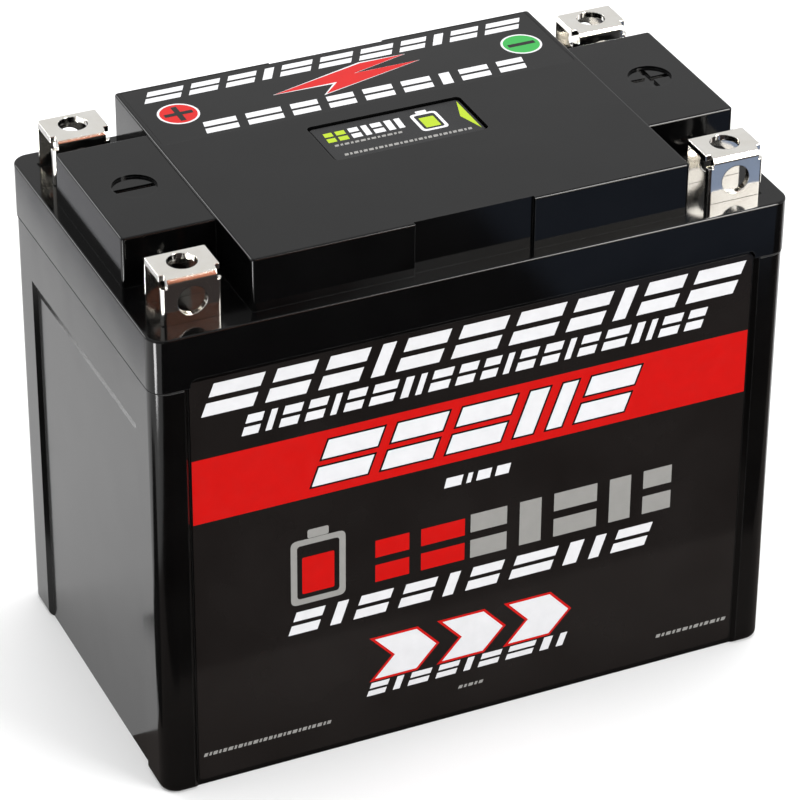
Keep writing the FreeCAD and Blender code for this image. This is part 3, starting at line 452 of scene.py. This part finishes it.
def in_frame(x, y, z):
    """A place given straight in the frame's metres."""
    return Vector((x, y, z))


def linked(name, data):
    """A new object in the scene with a mesh, camera or light."""
    made = bpy.data.objects.new(name, data)
    bpy.context.scene.collection.objects.link(made)
    return made


def piece_from(bm, name, material, body):
    """Turns a closed bmesh into a piece of one material that rides on a body."""
    bmesh.ops.recalc_face_normals(bm, faces=bm.faces)
    mesh = bpy.data.meshes.new(name)
    bm.to_mesh(mesh)
    bm.free()
    mesh.materials.append(material)
    piece = linked(name, mesh)
    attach(piece, body)
    return piece


def printed(name, shapes, place, material, layer=1, body=BODY):
    """Thin ink solids; a shape is an outline or an (outer, inner) pair of outlines."""
    low = (layer - 1) * PRINT_THICKNESS
    high = layer * PRINT_THICKNESS
    bm = bmesh.new()
    for shape in shapes:
        if isinstance(shape, tuple):
            add_ring(bm, shape[0], shape[1], place, low, high)
        else:
            add_slab(bm, shape, place, low, high)
    piece_from(bm, name, material, body)


def add_slab(bm, outline, place, low, high):
    """A flat solid of one outline between two levels."""
    lower = [bm.verts.new(place(u, v, low)) for u, v in outline]
    upper = [bm.verts.new(place(u, v, high)) for u, v in outline]
    bm.faces.new(lower[::-1])
    bm.faces.new(upper)
    wall(bm, lower, upper)


def add_ring(bm, outer, inner, place, low, high):
    """A flat solid between an outer and an inner outline and two levels."""
    loops = []
    for outline in (outer, inner):
        for level in (low, high):
            loops.append([bm.verts.new(place(u, v, level)) for u, v in outline])
    outer_low, outer_high, inner_low, inner_high = loops
    wall(bm, outer_low, outer_high)
    wall(bm, inner_high, inner_low)
    wall(bm, outer_high, inner_high)
    wall(bm, inner_low, outer_low)


def wall(bm, first, second):
    """Faces all round between two loops of vertices."""
    count = len(first)
    for index in range(count):
        after = (index + 1) % count
        bm.faces.new((first[index], first[after], second[after], second[index]))


def circle(x, y, radius):
    """Outline of a disc around a middle point."""
    angles = [2 * math.pi * index / CIRCLE_STEPS for index in range(CIRCLE_STEPS)]
    return [(x + radius * math.cos(angle), y + radius * math.sin(angle)) for angle in angles]


def rectangle(x, y, width, height):
    """Outline of a rectangle around a middle point."""
    return [
        (x - width / 2, y - height / 2),
        (x + width / 2, y - height / 2),
        (x + width / 2, y + height / 2),
        (x - width / 2, y + height / 2),
    ]


def rounded(outline, radius):
    """The outline with a curve at each corner."""
    points = []
    count = len(outline)
    for index in range(count):
        before = Vector(outline[index - 1])
        corner = Vector(outline[index])
        after = Vector(outline[(index + 1) % count])
        to_before = (before - corner).normalized()
        to_after = (after - corner).normalized()
        half_angle = to_before.angle(to_after) / 2
        room = min((before - corner).length, (after - corner).length) / 2
        reach = min(radius / math.tan(half_angle), room)
        start = corner + to_before * reach
        end = corner + to_after * reach
        for step in range(CORNER_STEPS + 1):
            t = step / CORNER_STEPS
            points.append(tuple(start * (1 - t) ** 2 + corner * 2 * t * (1 - t) + end * t * t))
    return points


def slanted(left, right, bottom, top, lean):
    """A leaning block; lean is how far the top edge is shifted."""
    return [(left, bottom), (right, bottom), (right + lean, top), (left + lean, top)]


Row = namedtuple("Row", "left right bottom top lean pattern")


def block_row(row, split=True):
    """Leaning blocks that fill a row; wide ones are split into two by a slit."""
    left, right, bottom, top, lean, pattern = row
    total = sum(pattern) + BLOCK_GAP * (len(pattern) - 1)
    unit = (right - left - lean) / total
    middle = (bottom + top) / 2
    slit = (top - bottom) * SLIT_SHARE
    below = lean * (middle - slit - bottom) / (top - bottom)
    above = lean * (middle + slit - bottom) / (top - bottom)
    shapes = []
    x = left
    for width in pattern:
        end = x + width * unit
        if split and width > SPLIT_WIDTH:
            shapes.append(slanted(x, end, bottom, middle - slit, below))
            shapes.append(slanted(x + above, end + above, middle + slit, top, lean - above))
        else:
            shapes.append(slanted(x, end, bottom, top, lean))
        x = end + BLOCK_GAP * unit
    return shapes


def flash_outline(x, y, width, height):
    """Lightning flash that fills a rectangle."""
    points = [
        (0.15, 0.5),
        (-0.5, -0.1),
        (-0.08, -0.1),
        (-0.2, -0.5),
        (0.5, 0.12),
        (0.06, 0.12),
        (0.45, 0.5),
    ]
    return [(x + u * width, y + v * height) for u, v in points]


def grown(outline, amount):
    """The outline pushed outwards by a distance, with long spikes held back."""
    shortest = 0.3
    count = len(outline)
    area = sum(
        outline[i][0] * outline[(i + 1) % count][1] - outline[(i + 1) % count][0] * outline[i][1]
        for i in range(count)
    )
    side = 1.0 if area > 0 else -1.0
    points = []
    for index in range(count):
        before = Vector(outline[index - 1])
        corner = Vector(outline[index])
        after = Vector(outline[(index + 1) % count])
        first = (corner - before).normalized()
        second = (after - corner).normalized()
        normal = Vector((first.y + second.y, -(first.x + second.x))) * side
        scale = amount / max(shortest, 1 + first.dot(second))
        points.append(tuple(corner + normal * scale))
    return points


# Widths of the blocks in a row, in units that are scaled to fill it.
LONG_PATTERN = (1.5, 1.2, 1.2, 0.4, 1.3, 1.4, 1.4, 1.1, 0.4, 1.2, 1.5)
MEDIUM_PATTERN = (0.8, 0.3, 0.9, 0.9, 0.3, 0.9, 1.2, 0.4, 0.3, 1.0, 0.9)
SHORT_PATTERN = (1.4, 1.3, 1.4, 0.5, 0.4, 1.3)
HOOD_PATTERN = (1.2, 1.3, 1.0, 1.0, 1.1, 1.1, 0.4, 1.1, 1.0)
FINE_PATTERN = (0.8, 0.5, 0.9, 0.5, 0.8, 1.0, 0.5, 0.9, 0.5, 0.8, 1.0, 0.5, 0.8)

# Rows on the front film, in mm: left, right, bottom, top, lean, pattern.
HEADING_ROW = Row(-64.0, 65.0, 96.3, 104.0, 3.0, LONG_PATTERN)
SECOND_ROW = Row(-55.0, 56.0, 89.3, 94.3, 1.6, MEDIUM_PATTERN * 2)
BAND_ROW = Row(-39.0, 40.0, 72.2, 83.2, 4.0, SHORT_PATTERN)
SMALL_ROW = Row(-7.6, 8.6, 63.3, 65.8, 0.6, (1.1, 0.3, 0.9, 0.9))
RED_BLOCKS = Row(-24.0, -2.4, 43.0, 54.0, 0.0, (1.0, 1.3))
GREY_BLOCKS = Row(-1.0, 49.0, 43.0, 54.6, 0.0, (1.0, 0.6, 1.2, 0.6, 0.8))
THIRD_ROW = Row(-44.8, 44.8, 34.4, 40.2, 2.0, MEDIUM_PATTERN[:10])
FOURTH_ROW = Row(-26.0, 24.0, 12.2, 15.6, 1.2, MEDIUM_PATTERN[:9])
FINE_ROWS = (
    Row(-3.4, 3.0, 7.6, 8.4, 0.3, FINE_PATTERN[:5]),
    Row(-65.4, -34.6, 7.5, 8.4, 0.3, FINE_PATTERN * 2),
    Row(47.0, 65.4, 7.0, 7.9, 0.3, FINE_PATTERN),
)

# The red band on the front film, and how far outlines stand out round shapes, in mm.
BAND_HEIGHT = 16.2
BAND_MIDDLE = 77.7
BAND_MARGIN = 0.1
BAND_ROW_OUTLINE = 0.45
CHEVRON_OUTLINE = 0.6
FLASH_OUTLINE = 0.5

# Chevrons in mm; the notch is a share of their height.
CHEVRON_LEFTS = (-24.0, -7.5, 9.0)
CHEVRON_BOTTOM = 16.6
CHEVRON_WIDTH = 15.0
CHEVRON_HEIGHT = 10.8
CHEVRON_NOTCH = 0.45

# Rows on the hood film and on the push plate, in mm: left, right, near, far, lean, pattern.
HOOD_REAR_ROW = Row(-46.6, 47.6, 32.5, 37.3, 2.6, LONG_PATTERN)
HOOD_FRONT_ROW = Row(-39.0, 39.4, 14.4, 19.5, 1.0, HOOD_PATTERN)
BUTTON_FIRST_BLOCKS = Row(-16.2, -10.9, 0.4, 4.6, 0.3, (1.0, 1.1))
BUTTON_SECOND_BLOCKS = Row(-10.3, 2.4, 0.4, 4.8, 0.3, (1.0, 0.6, 1.1, 0.7, 0.6))
BUTTON_FINE_ROWS = (
    Row(-15.6, 0.6, -1.7, -0.9, 0.2, FINE_PATTERN),
    Row(-15.2, 15.3, -6.2, -5.3, 0.2, FINE_PATTERN * 2),
)


def fine_print(rows):
    """Small unsplit blocks of several rows."""
    blocks = []
    for row in rows:
        blocks += block_row(row, split=False)
    return blocks


def print_front_label(inks):
    """Colour band, block rows, pictogram and chevrons on the front film."""
    low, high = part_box("front_label")
    place = on_front(low.y)
    band_width = 2 * (high.x / MM - BAND_MARGIN)
    band = rectangle(0, BAND_MIDDLE, band_width, BAND_HEIGHT)

    def on_film(name, shapes, colour, layer=1):
        printed(name, shapes, place, inks[colour], layer)

    on_film("print_heading_row", block_row(HEADING_ROW), "white")
    on_film("print_second_row", block_row(SECOND_ROW), "white")
    on_film("print_red_band", [band], "red")
    band_blocks = block_row(BAND_ROW)
    on_film("print_band_row_outline", outlined(band_blocks, BAND_ROW_OUTLINE), "black", 2)
    on_film("print_band_row", band_blocks, "white", 3)
    on_film("print_small_row", block_row(SMALL_ROW, split=False), "white")
    print_battery_pictogram(on_film)
    on_film("print_red_blocks", block_row(RED_BLOCKS), "red")
    on_film("print_grey_blocks", block_row(GREY_BLOCKS), "grey")
    on_film("print_third_row", block_row(THIRD_ROW), "white")
    chevrons = [chevron(left) for left in CHEVRON_LEFTS]
    on_film("print_chevron_outline", outlined(chevrons, CHEVRON_OUTLINE), "red")
    on_film("print_chevrons", chevrons, "white", 2)
    on_film("print_fourth_row", block_row(FOURTH_ROW), "white")
    on_film("print_fine_rows", fine_print(FINE_ROWS), "grey")


def outlined(shapes, margin):
    """The same shapes grown by a margin, to lie under them as an outline."""
    return [grown(shape, margin) for shape in shapes]


def chevron(left):
    """Arrowhead that points right, with a notch in its back."""
    depth = CHEVRON_HEIGHT * CHEVRON_NOTCH
    middle = CHEVRON_BOTTOM + CHEVRON_HEIGHT / 2
    top = CHEVRON_BOTTOM + CHEVRON_HEIGHT
    tip = left + CHEVRON_WIDTH
    return [
        (left, CHEVRON_BOTTOM),
        (tip - depth, CHEVRON_BOTTOM),
        (tip, middle),
        (tip - depth, top),
        (left, top),
        (left + depth, middle),
    ]


def hollow(x, y, outer_size, outer_corner, inner_size, inner_corner):
    """A rounded frame around a middle point, as a pair of outlines."""
    outer = rounded(rectangle(x, y, *outer_size), outer_corner)
    inner = rounded(rectangle(x, y, *inner_size), inner_corner)
    return (outer, inner)


def print_battery_pictogram(on_film):
    """Upright battery outline with a charged part."""
    x = -37.6
    frame = hollow(x, 50.5, (13.0, 17.0), 1.6, (10.0, 14.0), 0.9)
    cap = rounded(rectangle(x, 60.2, 5.0, 2.2), 0.5)
    on_film("print_battery_outline", [frame, cap], "grey")
    on_film("print_battery_fill", [rounded(rectangle(x, 49.5, 7.6, 9.6), 0.4)], "red")


def print_top_label(inks):
    """Polarity discs, block rows and a flash on the hood film."""
    place = on_top(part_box("top_label")[1].z)

    def on_film(name, shapes, colour, layer=1):
        printed(name, shapes, place, inks[colour], layer)

    on_film("print_hood_rear_row", block_row(HOOD_REAR_ROW), "white")
    on_film("print_hood_front_row", block_row(HOOD_FRONT_ROW), "white")
    flash = flash_outline(-0.6, 26.1, 36.0, 10.4)
    on_film("print_flash_outline", outlined([flash], FLASH_OUTLINE), "white")
    on_film("print_flash", [flash], "red", 2)
    print_polarity(on_film, "plus", -41.4, 25.3, "red")
    print_polarity(on_film, "minus", 42.2, 25.2, "green")


def print_polarity(on_film, sign, x, y, colour):
    """Coloured disc with a pale rim and a dark sign."""
    rim_radius = 4.75
    disc_radius = 4.25
    arm = 6.6
    stroke = 1.3
    rim = (circle(x, y, rim_radius), circle(x, y, disc_radius))
    on_film("print_%s_rim" % sign, [rim], "white")
    on_film("print_%s_disc" % sign, [circle(x, y, disc_radius)], colour)
    bars = [rectangle(x, y, arm, stroke)]
    if sign == "plus":
        side = (arm - stroke) / 2
        for turn in (-1, 1):
            bars.append(rectangle(x, y + turn * (stroke + side) / 2, stroke, side))
    on_film("print_%s_sign" % sign, bars, "black", 2)


def print_button_label(inks):
    """Block rows, a battery pictogram and an arrow on the push plate."""
    place = on_top(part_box("button_label")[1].z)

    def on_button(name, shapes, colour):
        printed(name, shapes, place, inks[colour], body=BUTTON)

    arrow = [(15.2, 0.2), (17.3, -6.4), (17.3, 6.8)]
    on_button("print_button_arrow", [arrow], "lime")
    on_button("print_button_first_blocks", block_row(BUTTON_FIRST_BLOCKS), "lime")
    on_button("print_button_second_blocks", block_row(BUTTON_SECOND_BLOCKS), "white")
    on_button("print_button_fine_rows", fine_print(BUTTON_FINE_ROWS), "grey")
    x = 8.0
    frame = hollow(x, 0.9, (6.4, 8.0), 1.2, (4.9, 6.5), 0.7)
    cap = rounded(rectangle(x, 5.5, 2.6, 1.0), 0.3)
    on_button("print_button_battery", [frame, cap], "white")
    on_button("print_button_charge", [rounded(rectangle(x, 0.6, 3.5, 4.5), 0.2)], "lime")


# --------------------------------------------------------------- soft pieces

def soft_slab(node, rounding, material):
    """A slab with soft corners and faintly dished faces and edges, in place of a CAD block."""
    low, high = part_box(node)
    centre = (low + high) / 2
    half = (high - low) / 2
    radius = min(rounding, min(half) * THIN_SLAB_ROUND)
    core = half - Vector((radius, radius, radius))
    bm = bmesh.new()
    bmesh.ops.create_cube(bm, size=2.0)
    bmesh.ops.subdivide_edges(bm, edges=bm.edges, cuts=SLAB_CUTS, use_grid_fill=True)
    for vert in bm.verts:
        dish = 1.0 - SLAB_DISH * dish_share(vert.co)
        vert.co = centre + softened(vert.co, half, core, radius) * dish
    for face in bm.faces:
        face.smooth = True
    piece = piece_from(bm, "soft_" + node, material, BODY)
    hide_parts(node)


def softened(corner, half, core, radius):
    """A point of a unit cube moved onto a box with rounded edges and corners."""
    sharp = Vector(corner[axis] * half[axis] for axis in range(3))
    held = Vector(max(-core[axis], min(core[axis], sharp[axis])) for axis in range(3))
    out = sharp - held
    if out.length > 0:
        return held + out.normalized() * radius
    return held


def dish_share(corner):
    """Share of the dish at a point of a unit cube; an axis along which it is at an end is left out."""
    at_end = 0.999
    share = 1.0
    for axis in range(3):
        if abs(corner[axis]) < at_end:
            share *= math.cos(corner[axis] * math.pi / 2)
    return share


def add_soft_pieces():
    """Foam around the cells and the pad under the transistors."""
    foam = closed_cell_foam()
    for node in ("base_foam", "foam_front", "foam_rear", "foam_left", "foam_right", "spacer_foam"):
        soft_slab(node, FOAM_ROUND, foam)
    pad = plain_plastic("thermal_pad", (0.35, 0.36, 0.42), 0.7)
    soft_slab("thermal_pad", PAD_ROUND, pad)


# --------------------------------------------------------------- painted shade in the joint line

def end_outline(side, reach, grow):
    """One end of the case's outline, from the front face round to the rear one."""
    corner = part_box("case")[1]
    centre_x = corner.x - CASE_CORNER
    centre_y = corner.y - CASE_CORNER
    radius = CASE_CORNER + grow
    front = [(side * reach, -centre_y - radius)]
    for step in range(ARC_STEPS + 1):
        angle = math.pi / 2 * step / ARC_STEPS
        x = centre_x + radius * math.sin(angle)
        y = centre_y + radius * math.cos(angle)
        front.append((side * x, -y))
    rear = [(x, -y) for x, y in reversed(front)]
    return front + rear


def add_painted_joint_shade(side, name, material):
    """Near-black strip of painted shade under the lid's edge at one end of the case, where the joint
    only has shadow.
    """
    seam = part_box("lid")[0].z
    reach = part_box("front_label")[1].x + SHADE_STRIP_SETBACK
    outer = end_outline(side, reach, SHADE_STRIP_STANDOUT)
    inner = end_outline(side, reach, -SHADE_STRIP_STANDOUT)
    bm = bmesh.new()
    add_slab(bm, outer + inner[::-1], in_frame, seam - SHADE_STRIP_HEIGHT, seam)
    piece_from(bm, name, material, BODY)


def add_painted_joint_shades():
    """The painted shade strip in the joint at both ends."""
    # Near-black matte here is painted shade for the shadow in the joint, not a real sealant.
    sealant = plain_plastic("painted_joint_shade_black", (0.0012, 0.0012, 0.0012), 0.8)
    add_painted_joint_shade(-1, "painted_joint_shade_left", sealant)
    add_painted_joint_shade(1, "painted_joint_shade_right", sealant)


# ------------------------------------------------------------------- studio

def point_matrix(right, up, back, location):
    """A placement whose X, Y and Z axes are the given directions."""
    turn = Matrix((right, up, back)).transposed().to_4x4()
    return Matrix.Translation(location) @ turn


def add_camera(box):
    """A long lens at the front, a little to the left and above."""
    azimuth = math.radians(-24.57)
    elevation = math.radians(32.46)
    roll = math.radians(0.43)
    distance = 0.880
    shift_right = 0.92 * MM
    shift_down = 4.57 * MM
    back = Vector((
        math.sin(azimuth) * math.cos(elevation),
        -math.cos(azimuth) * math.cos(elevation),
        math.sin(elevation),
    ))
    level = Vector((0, 0, 1)).cross(back).normalized()
    upright = back.cross(level)
    right = level * math.cos(roll) + upright * math.sin(roll)
    up = upright * math.cos(roll) - level * math.sin(roll)
    centre = (box[0] + box[1]) / 2
    aim = centre + right * shift_right - up * shift_down
    data = bpy.data.cameras.new("camera")
    data.lens = 174.16
    data.clip_start = 0.05
    data.clip_end = 20.0
    camera = linked("camera", data)
    camera.matrix_world = point_matrix(right, up, back, aim + back * distance)
    bpy.context.scene.camera = camera


def studio_surface(name, x_range, y_range, colour, glow=0.0):
    """A flat stage piece with a slightly uneven paint, which may shine by itself."""
    mesh = bpy.data.meshes.new(name)
    low_x, high_x = x_range
    low_y, high_y = y_range
    corners = [(low_x, low_y, 0), (high_x, low_y, 0), (high_x, high_y, 0), (low_x, high_y, 0)]
    mesh.from_pydata(corners, [], [(0, 1, 2, 3)])
    piece = linked(name, mesh)
    g = Graph(name)
    g.colour(g.mix(g.spread(g.noise(8.0), 0.0, 1.0), darker(colour, 0.99), colour))
    g.shader.inputs["Roughness"].default_value = 0.9
    g.shader.inputs["Specular IOR Level"].default_value = 0.1
    g.shader.inputs["Emission Color"].default_value = (*colour, 1.0)
    g.shader.inputs["Emission Strength"].default_value = glow
    mesh.materials.append(g.material)
    return piece


def add_floor():
    """Wide pale floor that reaches out of sight."""
    reach = (-FLOOR_REACH, FLOOR_REACH)
    studio_surface("floor", reach, reach, (FLOOR_GREY,) * 3, FLOOR_GLOW)


def only_in_reflections(piece):
    """Keeps a studio card out of the picture and out of the light's way."""
    piece.visible_camera = False
    piece.visible_diffuse = False
    piece.visible_shadow = False


def floor_card(name, x_range, y_range, colour, glow=0.0, layer=1):
    """A card lying on the floor, for the upright faces to mirror."""
    card = studio_surface(name, x_range, y_range, colour, glow)
    card.location.z = layer * CARD_STEP
    only_in_reflections(card)


def standing_card(name, x_range, z_range, y, colour, glow=0.0):
    """A card standing in front of the battery, for its faces and edges to mirror."""
    card = studio_surface(name, x_range, z_range, colour, glow)
    card.rotation_euler.x = math.pi / 2
    card.location.y = y
    only_in_reflections(card)


def add_cards():
    """Dark, tinted and bright studio cards that only show in reflections."""
    # Lying: range across, range from front to rear, colour, glow.
    floor_card("front_flag", (-0.16, 0.45), (-0.46, -0.02), (0.009, 0.006, 0.006))
    floor_card("far_flag", (-0.16, 0.40), (-1.15, -0.46), (0.02, 0.010, 0.007))
    floor_card("near_flag", (-0.16, 0.45), (-0.082, -0.02), (0.17, 0.15, 0.14), layer=2)
    floor_card("blue_card", (0.10, 0.26), (-0.27, -0.196), (0.125, 0.16, 0.235), layer=2)
    floor_card("strip_card", (-0.27, -0.222), (-0.135, -0.09), (1.0, 1.0, 1.0), 25.0)
    floor_card("panel_flag", (-0.215, -0.095), (-0.035, 0.022), (0.03, 0.03, 0.03), layer=3)
    floor_card("skirt_flag", (-0.40, -0.1365), (0.12, 0.40), (0.42, 0.42, 0.44))
    # Standing: range across, range up, place from front to rear, colour, glow.
    standing_card("back_wall", (-1.6, 1.6), (0.0, 1.25), -1.15, (0.02, 0.015, 0.012))
    standing_card("warm_card", (0.27, 0.44), (0.0, 1.20), -1.10, (0.40, 0.14, 0.075))
    standing_card("warm_rise", (0.27, 0.62), (1.20, 1.70), -1.10, (0.50, 0.32, 0.23))
    standing_card("soft_card", (0.45, 0.95), (0.05, 0.95), -1.00, (1.0, 0.95, 0.88), 8.0)
    standing_card("edge_card", (0.605, 0.95), (0.95, 1.65), -0.98, (1.0, 1.0, 1.0), 25.0)


def area_light(name, place, width, height, radiance, mirrored=True):
    """A soft rectangular light aimed at the battery, mirrored by shiny faces or not."""
    aim = Vector((0.0, 0.0, 0.06))
    data = bpy.data.lights.new(name, "AREA")
    data.shape = "RECTANGLE"
    data.size = width
    data.size_y = height
    data.energy = radiance * math.pi * width * height
    light = linked(name, data)
    light.location = place
    light.visible_glossy = mirrored
    light.rotation_mode = "QUATERNION"
    light.rotation_quaternion = (Vector(place) - aim).to_track_quat("Z", "Y")


def add_lights():
    """Overhead light, a soft box behind, a brighter one in front and an even pale room."""
    area_light("top_light", (0.1, 0.2, 1.2), 1.2, 0.9, radiance=3.2, mirrored=False)
    area_light("left_light", (-0.77, 1.0, 0.55), 0.5, 0.35, radiance=6.0)
    area_light("right_light", (0.66, -0.95, 0.80), 0.5, 0.42, radiance=13.0)
    world = bpy.data.worlds.new("studio")
    world.use_nodes = True
    background = world.node_tree.nodes["Background"]
    background.inputs["Color"].default_value = (1.0, 1.0, 1.0, 1.0)
    background.inputs["Strength"].default_value = ROOM_BRIGHTNESS
    bpy.context.scene.world = world


def make_inks():
    """The printing inks by colour name."""
    return {
        "white": ink("ink_white", (0.70, 0.70, 0.715)),
        "red": ink("ink_red", (0.52, 0.004, 0.003)),
        "grey": ink("ink_grey", (0.28, 0.275, 0.262)),
        "green": ink("ink_green", (0.03, 0.33, 0.06)),
        "lime": ink("ink_lime", (0.38, 0.52, 0.015)),
        "black": ink("ink_black", (0.006, 0.006, 0.006)),
    }


def main():
    """Dresses the frame, adds soft pieces, the painted shade strip in the joint, prints and studio,
    and notes the sizes.
    """
    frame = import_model()
    cad_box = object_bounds()
    dress_outside(frame)
    dress_inside(frame)
    add_soft_pieces()
    add_painted_joint_shades()
    inks = make_inks()
    print_front_label(inks)
    print_top_label(inks)
    print_button_label(inks)
    add_camera(cad_box)
    add_floor()
    add_cards()
    add_lights()
    bpy.context.scene.view_settings.view_transform = "Standard"


main()
